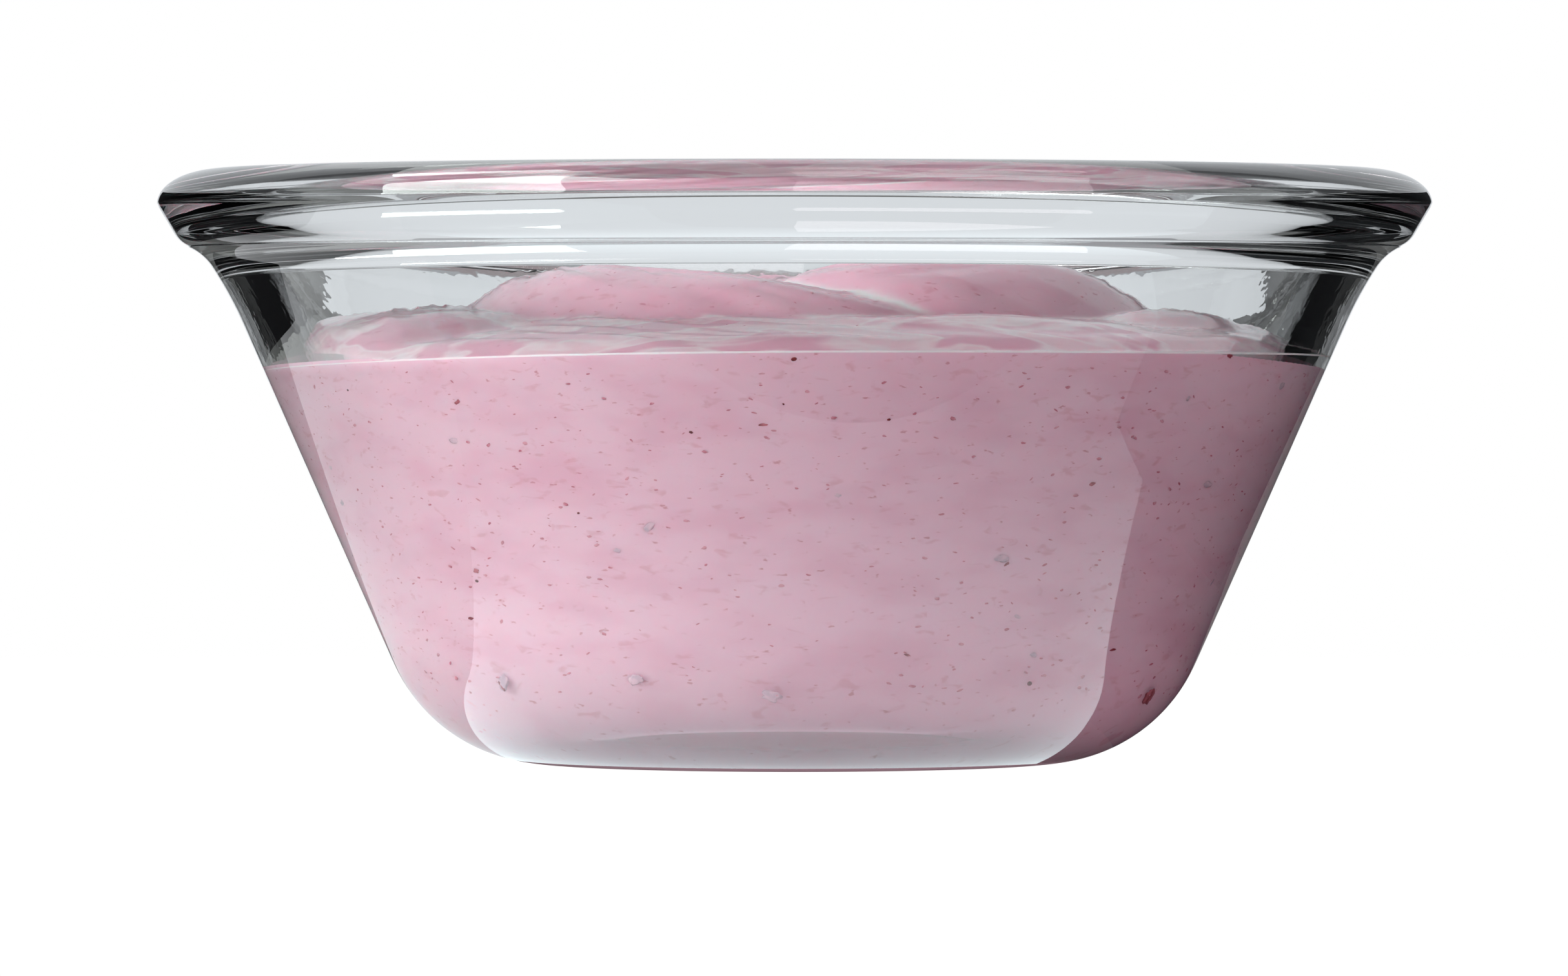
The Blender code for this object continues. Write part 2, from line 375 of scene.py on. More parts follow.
@dataclass(frozen=True)
class StirredYogurt:
    """Thick stirred berry yogurt: smooth, wet and milky, with fruit drawn through it.

    The open top has a wet gloss. Against the glass there is no air, so it has next to no gloss there.
    """

    contact: Contact
    pink: str = "#F2CDDD"
    deeper: str = "#E4AEC4"
    # Pale film colour: partly whey, partly painted reflection.
    whey: str = "#F9E0E8"
    top_tint: str = "#FFEFF4"
    pulp: str = "#D08A98"
    fleck: str = "#B85060"
    # White of the painted highlights: rims round patches, crease lines and the band along the yogurt's
    # edge.
    film: str = "#FFF3F7"
    drawn_round: Place = (1.0, 1.0, 2.6)
    cloud_mm: float = 9.0
    cloud_share: float = 0.5
    streak_mm: float = 1.9
    streak_share: float = 0.34
    fleck_mm: float = 1.0
    fleck_share: float = 0.5
    drawn_out: Place = (0.28, 0.42, 0.8)
    patch_mm: float = 2.6
    patch_share: float = 0.45
    whey_and_sheen_share: float = 0.60
    patch_highlight_share: float = 0.7
    highlight_line_share: float = 0.95
    # Share of white in the painted highlight band along the yogurt's edge.
    edge_highlight_share: float = 0.7
    relief_mm: float = 0.9
    relief_depth_mm: float = 0.02
    gloss_roughness: float = 0.09
    roughness_on_glass: float = 0.06
    mirror_share: float = 0.45
    ior: float = 1.36
    ior_from_glass: float = 0.92
    milkiness: float = 1.0
    light_reach_mm: float = 1.2
    light_spread: Place = (1.0, 0.6, 0.65)

    def colour(self, tree: Tree) -> Socket:
        """Paints the pulp streaks and the finest flecks."""
        flat = place_in_mm(tree, self.drawn_round)
        clouds = ramp(tree, noise_value(tree, flat, self.cloud_mm), 0.40, 0.75)
        clouds = times(tree, clouds, self.cloud_share)
        base = mix_colour(tree, clouds, linear(self.pink), linear(self.deeper))
        streaks = ramp(tree, noise_value(tree, flat, self.streak_mm, 3.0, 0.6), 0.58, 0.74)
        base = mix_colour(tree, times(tree, streaks, self.streak_share), base, linear(self.pulp))
        flecks = ramp(tree, noise_value(tree, flat, self.fleck_mm), 0.67, 0.76)
        return mix_colour(tree, times(tree, flecks, self.fleck_share), base, linear(self.fleck))

    def wet(self, tree: Tree, base: Socket) -> Socket:
        """Lays on the open top a pale film, partly whey and partly painted reflection, broken by
        patches, and painted highlight lines round the patches and in creases.

        Args:
            tree: The material's node tree.
            base: The yogurt's own colour.

        Returns:
            The colour socket.
        """
        film, line = [
            add_node(tree, "ShaderNodeAttribute", {"attribute_name": name}).outputs["Fac"]
            for name in (WHEY_AND_SHEEN_ATTRIBUTE, CREASE_HIGHLIGHT_ATTRIBUTE)
        ]
        pattern = noise_value(tree, place_in_mm(tree, self.drawn_out), self.patch_mm, 2.5, 0.5)
        patch = ramp(tree, pattern, 0.47, 0.57)
        rest = add_node(tree, "ShaderNodeMath", {"operation": "SUBTRACT"}, {0: 1.0, 1: patch})
        off_patch = rest.outputs[0]
        # Painted highlights: white rims round the patches, and the white crease lines.
        rim = times(tree, ramp(tree, pattern, 0.44, 0.51), off_patch)
        patches = times(tree, times(tree, film, patch), self.patch_share)
        whey = times(tree, times(tree, film, off_patch), self.whey_and_sheen_share)
        edge = times(tree, times(tree, film, rim), self.patch_highlight_share)
        edges = add_node(tree, "ShaderNodeMath", {"operation": "MAXIMUM"}, {0: edge, 1: line})
        lines = times(tree, edges.outputs[0], self.highlight_line_share)
        colour = mix_colour(tree, 1.0, base, linear(self.top_tint), "MULTIPLY")
        colour = mix_colour(tree, patches, colour, linear(self.deeper))
        colour = mix_colour(tree, whey, colour, linear(self.whey))
        return mix_colour(tree, lines, colour, linear(self.film))

    def material(self) -> Material:
        """Builds the material."""
        material, tree = new_material(self.contact.value)
        relief = noise_value(tree, place_in_mm(tree), self.relief_mm)
        depth = {"Height": relief, "Distance": self.relief_depth_mm * MM, "Strength": 1.0}
        bump = add_node(tree, "ShaderNodeBump", inputs=depth)
        colour = self.colour(tree)
        # Painted highlight: the band along the yogurt's edge is paled towards white.
        if self.contact is Contact.THIN_EDGE:
            colour = mix_colour(tree, self.edge_highlight_share, colour, linear(self.film))
        inputs = {
            "Subsurface Weight": self.milkiness,
            "Subsurface Radius": self.light_spread,
            "Subsurface Scale": self.light_reach_mm * MM,
        }
        if self.contact is Contact.OPEN_TOP:
            inputs |= {
                "Base Color": self.wet(tree, colour),
                "Roughness": self.gloss_roughness,
                "IOR": self.ior,
                "Normal": bump.outputs["Normal"],
            }
        else:
            fresnel = add_node(tree, "ShaderNodeFresnel", inputs={"IOR": self.ior_from_glass})
            mirror = times(tree, fresnel.outputs[0], self.mirror_share)
            inputs |= {
                "Base Color": mix_colour(tree, mirror, colour, linear("#FFFFFF")),
                "Metallic": mirror,
                "Roughness": self.roughness_on_glass,
                "IOR": self.ior,
                "Specular IOR Level": 0.0,
            }
        finish_surface(tree, add_node(tree, "ShaderNodeBsdfPrincipled", inputs=inputs))
        return material


@dataclass(frozen=True)
class FruitFinish:
    """Wet fruit drawn through yogurt: thin milky film over pulp, a seed's coat or a bit of skin."""

    name: str
    pale: str
    dark: str
    patch_mm: float
    roughness: float = 0.35
    ior: float = 1.38
    gloss: float = 0.15

    def material(self) -> Material:
        """Builds the material."""
        material, tree = new_material(self.name)
        share = ramp(tree, noise_value(tree, place_in_mm(tree), self.patch_mm), 0.35, 0.65)
        colour = mix_colour(tree, share, linear(self.pale), linear(self.dark))
        shader = add_node(
            tree,
            "ShaderNodeBsdfPrincipled",
            inputs={
                "Base Color": colour,
                "Roughness": self.roughness,
                "IOR": self.ior,
                "Specular IOR Level": self.gloss,
            },
        )
        finish_surface(tree, shader)
        return material


@dataclass(frozen=True)
class Glow:
    """A lit sheet of the studio: backdrop, light box or light table."""

    name: str
    colour: str
    strength: float

    def material(self) -> Material:
        """Builds the material."""
        material, tree = new_material(self.name)
        shader = add_node(
            tree,
            "ShaderNodeEmission",
            inputs={"Color": linear(self.colour), "Strength": self.strength},
        )
        finish_surface(tree, shader)
        return material


@dataclass
class Bowl:
    """The pressed-glass bowl: foot ring, flared wall and rolled rim. Sizes in millimetres."""

    foot_outer: float = 21.5
    foot_inner: float = 15.2
    punt_edge: Point = (14.0, 0.9)
    punt_height: float = 1.8
    heel_radius: float = 14.3
    lean: float = math.radians(23.9)
    thickness: float = 3.9
    floor_height: float = 6.0
    inner_heel: float = 9.0
    outer_flare_from: float = 38.0
    inner_flare_from: float = 39.6
    inner_flare_top: float = 43.8
    flare_rate: float = 0.0217
    neck_start: Point = (50.2, 42.7)
    neck_lean: float = math.radians(32.0)
    neck_radius: float = 4.6
    chin_start: Point = (52.25, 44.56)
    chin_lean: float = math.radians(67.0)
    chin_radius: float = 2.6
    nose_lean: float = math.radians(30.0)
    nose: Point = (55.0, 48.2)
    rim_top: float = 51.2
    crown_radius: float = 49.6
    rim_inner: float = 46.3
    ripple_from: float = 34.0
    ripple_to: float = 43.0
    ripple_depth: float = 1.0
    longest_step: float = 2.2
    faces_round: int = 240

    def outer_radius(self, height: float) -> float:
        """Outside radius of the straight wall at a height."""
        heel_end = self.foot_outer + self.heel_radius * math.cos(self.lean)
        rise = height - self.heel_radius * (1.0 - math.sin(self.lean))
        return heel_end + rise * math.tan(self.lean)

    def inner_radius(self, height: float) -> float:
        """Inside radius of the straight wall at a height."""
        return self.outer_radius(height) - self.thickness / math.cos(self.lean)

    def flare(self, start: float, end: float, inside: bool, steps: int = 10) -> list[Point]:
        """The stretch where the wall bends outwards below the rim.

        Args:
            start: Height where it leaves the straight wall.
            end: Height where it ends.
            inside: Whether it is the inside of the wall.
            steps: How many stretches.

        Returns:
            Its points, from below up.
        """
        wall = self.inner_radius if inside else self.outer_radius
        heights = [start + (end - start) * i / steps for i in range(steps + 1)]
        return [(wall(z) + self.flare_rate * (z - start) ** 2, z) for z in heights]

    def outside(self) -> list[Point]:
        """Outline of the outside, from the middle of the underside to the top of the rim."""
        rise = self.punt_height - self.punt_edge[1]
        punt = [
            (self.punt_edge[0] * share, self.punt_height - rise * share * share)
            for share in (0.0, 0.2, 0.4, 0.6, 0.8, 1.0)
        ]
        heel = arc((self.foot_outer, self.heel_radius), self.heel_radius, -TAU / 4.0, -self.lean, 14)
        flare = self.flare(self.outer_flare_from, self.neck_start[1], False)
        neck_centre = (
            self.neck_start[0] + self.neck_radius * math.cos(self.neck_lean),
            self.neck_start[1] - self.neck_radius * math.sin(self.neck_lean),
        )
        half_turn = TAU / 2.0
        neck = arc(
            neck_centre, self.neck_radius, half_turn - self.neck_lean, half_turn - self.chin_lean, 8
        )
        chin_centre = (
            self.chin_start[0] - self.chin_radius * math.cos(self.chin_lean),
            self.chin_start[1] + self.chin_radius * math.sin(self.chin_lean),
        )
        chin = arc(chin_centre, self.chin_radius, -self.chin_lean, -self.nose_lean, 6)
        half_width = self.nose[0] - self.crown_radius
        tall = (self.rim_top - self.nose[1]) / half_width
        top = arc((self.crown_radius, self.nose[1]), half_width, 0.0, TAU / 4.0, 10, tall)
        return punt + [(self.foot_inner, 0.0)] + heel + flare + neck[1:] + chin + top

    def inside(self, gap: float = 0.0) -> list[Point]:
        """Outline of the inside, from the heel's top to the middle of the floor.

        Args:
            gap: How far it stays off the glass. A negative one reaches into it.

        Returns:
            The points in order.
        """
        floor = self.floor_height + gap
        radius = self.inner_heel - gap
        tangent = floor + radius * (1.0 - math.sin(self.lean))
        centre_r = self.inner_radius(tangent) - gap / math.cos(self.lean) - radius * math.cos(self.lean)
        heel = arc((centre_r, floor + radius), radius, -self.lean, -TAU / 4.0, 12)
        return heel + [(0.0, floor)]

    def section(self) -> list[Point]:
        """The whole section of the glass, from the axis round the outside and back to the axis."""
        half_width = self.crown_radius - self.rim_inner
        tall = (self.rim_top - self.nose[1]) / half_width
        lip = arc((self.crown_radius, self.nose[1]), half_width, TAU / 4.0, TAU / 2.0, 8, tall)[1:]
        flare = self.flare(self.inner_flare_from, self.inner_flare_top, True)
        return self.outside() + lip + flare[::-1] + self.inside()

    def build(self) -> bpy.types.Object:
        """Makes the glass and dresses it."""
        outline = softened(stepped(self.section(), self.longest_step))
        bm = turned(outline, self.faces_round)
        for face in bm.faces:
            middle = face.calc_center_median() / MM
            off_wall = math.hypot(middle.x, middle.y) - self.inner_radius(middle.z)
            in_reach = self.ripple_from < middle.z < self.ripple_to
            face.material_index = int(in_reach and abs(off_wall) < self.ripple_depth)
        piece = finished_piece(
            "bowl_glass", bm, [PressedGlass(face).material() for face in GlassFace]
        )
        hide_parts("glass_bowl")
        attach(piece, "root")
        return piece


@dataclass(frozen=True)
class Wave:
    """A wave that runs round the bowl, its depth in millimetres."""

    waves_round: float
    depth: float
    phase: float

    def at(self, angle: float) -> float:
        """Its rise at an angle."""
        return self.depth * math.sin(self.waves_round * angle + self.phase)


@dataclass(frozen=True)
class Fold:
    """A fold that the spoon left: a ridge along an arc round the swirl's centre.

    Angles are in degrees from +X towards +Y, all other values in millimetres.
    """

    start: float
    end: float
    radii: Point
    heights: tuple[float, float, float]
    reach_out: float
    reach_in: float
    drop: float
    end_length: float = 11.0
    lip: float = 0.08
    lip_width: float = 0.6

    def height(self, rho: float, theta: float) -> float:
        """Height of the fold at a place round the swirl's centre."""
        angle = math.degrees(theta)
        angle += 360.0 * round((0.5 * (self.start + self.end) - angle) / 360.0)
        share = (angle - self.start) / (self.end - self.start)
        past_end = math.radians(abs(share - clamped(share)) * (self.end - self.start))
        first, middle, last = self.heights
        crest = first + (last - first) * share
        crest += (middle - 0.5 * (first + last)) * 4.0 * share * (1.0 - share)
        across = rho - self.radii[0] - (self.radii[1] - self.radii[0]) * share
        crest += self.lip * math.exp(-((across / self.lip_width) ** 2))
        across /= self.reach_out if across > 0.0 else self.reach_in
        along = past_end * rho / self.end_length
        return crest - self.drop * (across * across + along * along)


def swirl_folds() -> tuple[Fold, ...]:
    """The folds, from the front left lobe round to the left edge."""
    return (
        Fold(178.0, 283.0, (24.5, 20.5), (43.5, 43.6, 40.9), 9.0, 15.0, 4.0, lip=0.24),
        Fold(262.0, 400.0, (12.0, 21.5), (43.7, 44.7, 41.2), 10.0, 13.0, 4.2, lip=0.22),
        Fold(70.0, 190.0, (12.0, 22.5), (43.3, 43.7, 41.6), 9.0, 13.0, 4.0, lip=0.22),
        Fold(208.0, 252.0, (31.0, 32.5), (38.6, 39.0, 38.4), 8.0, 9.0, 2.4),
        Fold(262.0, 312.0, (29.5, 33.5), (38.5, 39.2, 38.5), 8.0, 9.0, 2.4),
        Fold(328.0, 352.0, (29.5, 31.0), (39.5, 40.1, 39.5), 6.0, 8.0, 2.4),
        Fold(20.0, 120.0, (29.0, 31.0), (39.5, 40.1, 39.1), 8.0, 9.0, 2.4),
        Fold(150.0, 208.0, (33.0, 33.0), (40.1, 40.5, 39.9), 12.0, 20.0, 2.0),
    )


@dataclass
class YogurtFill:
    """The yogurt: it fills the bowl to its level and ends in a swirled mound. Sizes in millimetres."""

    bowl: Bowl
    into_glass: float = 0.12
    fill_height: float = 36.0
    fill_tilt: float = 0.012
    level_wave: Wave = Wave(3.0, 0.12, 0.8)
    fold_waves: tuple[Wave, ...] = (Wave(2.0, 0.7, 1.0), Wave(5.0, 0.45, -0.6))
    # Height of the painted highlight band along the yogurt's edge.
    highlight_band_height: float = 0.16
    shoulder_rise: float = 0.9
    shoulder_width: float = 3.0
    shoulder_power: float = 2.0
    cone_rise: float = 4.3
    cone_power: float = 1.5
    centre: Point = (3.0, 2.0)
    centre_height: float = 42.9
    centre_radius: float = 7.0
    crease: float = 0.5
    edge_round: float = 1.8
    lumps: float = 0.30
    lump_size: Point = (7.0, 3.5)
    drag_marks: float = 0.05
    drag_size: Point = (3.2, 1.3)
    folds: tuple[Fold, ...] = field(default_factory=swirl_folds)
    lobes: int = 3
    whey_and_sheen_start: Point = (-0.3, 0.5)
    crease_highlight_gap: float = 0.42
    whey_and_sheen_depth: Point = (16.0, 4.0)
    rings: int = 160
    faces_round: int = 400
    longest_step: float = 1.5
    tolerance: float = 0.01
    steepest_top: float = 0.2

    def level(self, x: float, y: float) -> float:
        """Height of the yogurt's edge where it meets the glass."""
        return self.fill_height + self.fill_tilt * x + self.level_wave.at(math.atan2(y, x))

    def inset(self, x: float, y: float) -> float:
        """How far a place lies inside the glass."""
        return max(0.0, self.bowl.inner_radius(self.fill_height) - math.hypot(x, y))

    def cone(self, inset: float) -> float:
        """Rise of the low cone that the folds lie on."""
        inward = inset / self.bowl.inner_radius(self.fill_height)
        return self.cone_rise * (1.0 - (1.0 - inward) ** self.cone_power)

    def around_centre(self, x: float, y: float) -> Point:
        """Distance from the swirl's centre and angle round it, where the folds wander a little."""
        rho = math.hypot(x - self.centre[0], y - self.centre[1])
        theta = math.atan2(y - self.centre[1], x - self.centre[0])
        return rho + sum(wave.at(theta) for wave in self.fold_waves), theta

    def whey_and_highlights(self, x: float, y: float) -> Point:
        """How far the pale film, partly whey and partly painted reflection, and the painted highlight
        lines lie on the yogurt at a place.

        Args:
            x: Place across.
            y: Place in depth.

        Returns:
            The share of pale film, partly whey and partly painted reflection, which lies between the
            big folds and the glass at the front of the top, and the share of the painted highlight line
            in the crease between two big folds.
        """
        low = self.level(x, y) + self.shoulder_rise + self.cone(self.inset(x, y))
        rho, theta = self.around_centre(x, y)
        heights = [fold.height(rho, theta) for fold in self.folds]
        low = max([low] + heights[self.lobes :])
        second, first = sorted(heights[: self.lobes])[-2:]
        none, full = self.whey_and_sheen_start
        rise = clamped((first - low - none) / (full - none))
        # Painted highlight: a white line where two big folds meet at one height.
        line = math.exp(-(((first - second) / self.crease_highlight_gap) ** 2)) * rise
        # Only the front of the top gets the pale film and the lines: painted reflection and painted
        # highlight.
        back, front = self.whey_and_sheen_depth
        nearness = clamped((back - y) / (back - front))
        nearness *= clamped(rho / self.centre_radius - 1.0)
        return nearness * (1.0 - smooth_step(rise)), nearness * line

    def height(self, x: float, y: float) -> float:
        """Height of the yogurt's top at a place: a low cone with the folds of the swirl on it."""
        level = self.level(x, y)
        inset = self.inset(x, y)
        shoulder = 1.0 - (1.0 - clamped(inset / self.shoulder_width)) ** self.shoulder_power
        height = level + self.shoulder_rise * shoulder + self.cone(inset)
        rho, theta = self.around_centre(x, y)
        for fold in self.folds:
            other = fold.height(rho, theta)
            near = max(0.0, self.crease - abs(height - other)) / self.crease
            height = max(height, other) + near * near * self.crease / 4.0
        height += self.unevenness(rho, theta)
        outward = 1.0 - clamped(inset / self.edge_round)
        height = level + (height - level) * math.sqrt(1.0 - outward**2.0)
        share = smooth_step(rho / self.centre_radius)
        return self.centre_height + (height - self.centre_height) * share

    def unevenness(self, rho: float, theta: float) -> float:
        """Low lumps and fine drag marks that the spoon left, drawn out round the swirl."""
        along = 0.5 * self.centre[0] + rho * theta
        lump = noise.noise(Vector((along / self.lump_size[0], rho / self.lump_size[1], 0.4)))
        drag = noise.noise(Vector((along / self.drag_size[0], rho / self.drag_size[1], 5.1)))
        return self.lumps * lump + self.drag_marks * drag

    def mesh(self) -> BMesh:
        """Turns the body and raises its top into the swirl."""
        shift = self.into_glass / math.cos(self.bowl.lean)
        edge = self.bowl.inner_radius(self.fill_height) + shift
        top = [(edge * ring / self.rings, self.fill_height) for ring in range(self.rings + 1)]
        # The thin band at the top of the side is a painted highlight line along the yogurt's edge.
        lower = self.fill_height - self.highlight_band_height
        film = (self.bowl.inner_radius(lower) + shift, lower)
        under = stepped([film] + self.bowl.inside(-self.into_glass), self.longest_step)
        bm = turned(top + under, self.faces_round)
        slots = list(Contact)
        for face in bm.faces:
            heights = [vert.co.z / MM for vert in face.verts]
            upright = max(heights) - min(heights) > 0.5 * self.highlight_band_height
            if upright and min(heights) > lower - self.tolerance:
                face.material_index = slots.index(Contact.THIN_EDGE)
        whey_and_sheen_layer = bm.verts.layers.float.new(WHEY_AND_SHEEN_ATTRIBUTE)
        crease_highlight_layer = bm.verts.layers.float.new(CREASE_HIGHLIGHT_ATTRIBUTE)
        for vert in bm.verts:
            if vert.co.z < (lower - self.tolerance) * MM:
                continue
            x, y = vert.co.x / MM, vert.co.y / MM
            if vert.co.z < (self.fill_height - self.tolerance) * MM:
                vert.co.z += (self.level(x, y) - self.fill_height) * MM
                continue
            from_axis = math.hypot(x, y)
            vert.co.z = self.height(x, y) * MM
            vert[whey_and_sheen_layer], vert[crease_highlight_layer] = self.whey_and_highlights(x, y)
            if from_axis > edge - self.tolerance:
                limit = self.bowl.inner_radius(vert.co.z / MM) + shift
                vert.co.x *= limit / from_axis
                vert.co.y *= limit / from_axis
        bm.normal_update()
        for face in bm.faces:
            if face.material_index == 0 and face.normal.z < self.steepest_top:
                face.material_index = slots.index(Contact.AGAINST_GLASS)
        return bm

    def build(self) -> bpy.types.Object:
        """Makes the yogurt and dresses it."""
        finishes = [StirredYogurt(contact).material() for contact in Contact]
        piece = finished_piece("swirled_yogurt", self.mesh(), finishes)
        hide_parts("yogurt")
        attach(piece, "root")
        return piece


class BitKind(Enum):
    """The kinds of fruit that show in the yogurt."""

    PULP = "berry_pulp_flecks"
    SEED = "berry_seeds"
    CRUSHED = "crushed_berry_pieces"
    SKIN = "dark_berry_skins"


@dataclass(frozen=True)
class BitForm:
    """Form of one kind of bit: its sizes in millimetres, how ragged it is and how it is dressed."""

    finish: FruitFinish
    long: Point
    narrowness: Point
    thickness: float
    ragged: float
    on_side: int
    on_top: int
    rounds: int = 2


BIT_FORMS = {
    BitKind.PULP: BitForm(
        FruitFinish("red_berry_pulp", "#DC9DAD", "#C87386", 0.9),
        long=(0.22, 0.60),
        narrowness=(0.25, 0.60),
        thickness=0.12,
        ragged=0.5,
        on_side=900,
        on_top=110,
    ),
    BitKind.SEED: BitForm(
        FruitFinish("dark_red_seed_coat", "#8A2C34", "#571A22", 0.4),
        long=(0.35, 0.60),
        narrowness=(0.60, 0.80),
        thickness=0.30,
        ragged=0.12,
        on_side=8,
        on_top=2,
    ),
    BitKind.CRUSHED: BitForm(
        FruitFinish("crushed_dark_berry", "#BE6774", "#8C3542", 0.6),
        long=(0.7, 1.2),
        narrowness=(0.35, 0.70),
        thickness=0.30,
        ragged=0.7,
        on_side=9,
        on_top=1,
        rounds=3,
    ),
    BitKind.SKIN: BitForm(
        FruitFinish("milky_blue_berry_skin", "#E2C0CE", "#C6ACBC", 0.8),
        long=(0.6, 1.5),
        narrowness=(0.45, 0.80),
        thickness=0.20,
        ragged=0.7,
        on_side=24,
        on_top=3,
        rounds=3,
    ),
}


@dataclass(frozen=True)
class SeenBit:
    """A bit that the photo shows through the front of the glass, in millimetres on the picture."""

    kind: BitKind
    across: float
    height: float
    long: float


SEEN_BITS = (
    SeenBit(BitKind.SEED, -8.6, 28.8, 0.65),
    SeenBit(BitKind.SEED, -0.1, 34.8, 0.7),
    SeenBit(BitKind.SEED, -26.8, 16.4, 0.75),
    SeenBit(BitKind.SEED, 19.8, 7.8, 0.5),
    SeenBit(BitKind.SEED, -37.8, 32.6, 0.5),
    SeenBit(BitKind.CRUSHED, 30.8, 6.9, 1.9),
    SeenBit(BitKind.CRUSHED, 36.6, 35.4, 0.8),
    SeenBit(BitKind.CRUSHED, -24.9, 7.6, 0.8),
    SeenBit(BitKind.SKIN, 17.3, 18.3, 1.7),
    SeenBit(BitKind.SKIN, -2.0, 6.9, 1.5),
    SeenBit(BitKind.SKIN, -24.7, 7.9, 1.5),
    SeenBit(BitKind.SKIN, 35.0, 24.6, 1.5),
    SeenBit(BitKind.SKIN, -38.9, 23.2, 1.2),
    SeenBit(BitKind.SKIN, 18.6, 13.4, 0.9),
)


@dataclass
class FruitBits:
    """The bits of one kind, joined in one piece. Sizes in millimetres."""

    bowl: Bowl
    fill: YogurtFill
    kind: BitKind
    glass_index: float = 1.52
    lift_by_wall: float = 0.58
    lowest: float = 7.5
    proud: float = 0.03
    below_edge: float = 0.8
    top_reach: float = 35.0
    tilt_spread: float = 0.35
    slope_step: float = 0.3
    dents: float = 1.6
    apart: Point = (7.3, 3.1)
    seed: int = 7

    def __post_init__(self) -> None:
        """Starts the kind's own row of random numbers."""
        self.form = BIT_FORMS[self.kind]
        self.random = random.Random(f"{self.kind.value} {self.seed}")

    def seen_through_glass(self, across: float, height: float) -> Point:
        """Finds where a spot seen through the front wall really is.

        Args:
            across: Distance from the axis in the picture.
            height: Height in the picture.

        Returns:
            Angle from the front round the axis, and the true height.
        """
        true_height = height + self.lift_by_wall
        outer = self.bowl.outer_radius(true_height)
        inner = self.bowl.inner_radius(true_height)
        bend = math.asin(across / (self.glass_index * inner))
        bend -= math.asin(across / (self.glass_index * outer))
        return math.asin(across / outer) + bend, true_height

    def on_side(self, angle: float, height: float, long: float) -> Matrix:
        """Lays a bit against the glass, its outer face just proud of the yogurt."""
        lean = self.bowl.lean
        out = Vector((math.sin(angle), -math.cos(angle), 0.0))
        normal = out * math.cos(lean) - Vector((0.0, 0.0, math.sin(lean)))
        along = Vector((math.cos(angle), math.sin(angle), 0.0))
        radius = self.bowl.inner_radius(height) + self.fill.into_glass / math.cos(lean)
        sink = self.form.thickness * 0.5 - self.proud
        centre = out * radius + Vector((0.0, 0.0, height)) - normal * sink
        tilt = self.random.gauss(0.0, self.tilt_spread)
        return self.placed(centre, along, normal, tilt, long)

    def on_top(self, long: float) -> Matrix:
        """Lays a bit somewhere on the swirled top, half sunk in it."""
        reach = self.top_reach * math.sqrt(self.random.random())
        angle = self.random.uniform(0.0, TAU)
        x, y = reach * math.cos(angle), reach * math.sin(angle)
        step = self.slope_step
        slope_x = (self.fill.height(x + step, y) - self.fill.height(x - step, y)) / (2.0 * step)
        slope_y = (self.fill.height(x, y + step) - self.fill.height(x, y - step)) / (2.0 * step)
        normal = Vector((-slope_x, -slope_y, 1.0)).normalized()
        along = normal.orthogonal().normalized()
        sink = self.form.thickness * 0.5 - self.proud
        centre = Vector((x, y, self.fill.height(x, y))) - normal * sink
        return self.placed(centre, along, normal, self.random.uniform(0.0, TAU), long)

    def placed(self, centre: Vector, along: Vector, normal: Vector, tilt: float, long: float) -> Matrix:
        """Gives the transform from a unit ball to a flat bit on a surface."""
        turned_along = Matrix.Rotation(tilt, 3, normal) @ along
        across = normal.cross(turned_along)
        narrow = self.random.uniform(*self.form.narrowness)
        axes = Matrix((turned_along, across, normal)).transposed().to_4x4()
        sizes = Matrix.Diagonal((0.5 * long, 0.5 * long * narrow, 0.5 * self.form.thickness, 1.0))
        return Matrix.Translation(centre) @ axes @ sizes

    def places(self) -> list[Matrix]:
        """Gives every bit's transform: the seen ones, then others round the side and on the top."""
        places = []
        for bit in SEEN_BITS:
            if bit.kind is self.kind:
                angle, height = self.seen_through_glass(bit.across, bit.height)
                places.append(self.on_side(angle, height, bit.long))
        for _ in range(self.form.on_side):
            angle = self.random.uniform(0.0, TAU)
            height = self.random.uniform(self.lowest, self.fill.fill_height - self.below_edge)
            places.append(self.on_side(angle, height, self.random.uniform(*self.form.long)))
        for _ in range(self.form.on_top):
            places.append(self.on_top(self.random.uniform(*self.form.long)))
        return places

    def build(self) -> bpy.types.Object:
        """Makes the piece: a ragged ball for each bit, flattened where it lies."""
        joined = bmesh.new()
        single = bpy.data.meshes.new("single_bit")
        for number, place in enumerate(self.places()):
            bm = bmesh.new()
            bmesh.ops.create_icosphere(bm, subdivisions=self.form.rounds, radius=1.0)
            offset = Vector((self.apart[0] * number, self.apart[1] * number, 0.0))
            for vert in bm.verts:
                swell = 1.0 + self.form.ragged * noise.noise(vert.co * self.dents + offset)
                vert.co = place @ Vector((vert.co.x * swell, vert.co.y * swell, vert.co.z)) * MM
            bm.to_mesh(single)
            bm.free()
            joined.from_mesh(single)
        bpy.data.meshes.remove(single)
        piece = finished_piece(self.kind.value, joined, [self.form.finish.material()])
        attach(piece, "root")
        return piece


@dataclass(frozen=True)
class SoftBox:
    """A lit sheet hung out of the camera's sight. Sizes in metres."""

    name: str
    finish: Glow
    centre: Place
    size: Point
    towards: Place = (0.0, 0.0, 0.03)
    in_glass: bool = True
    lights_matt: bool = True


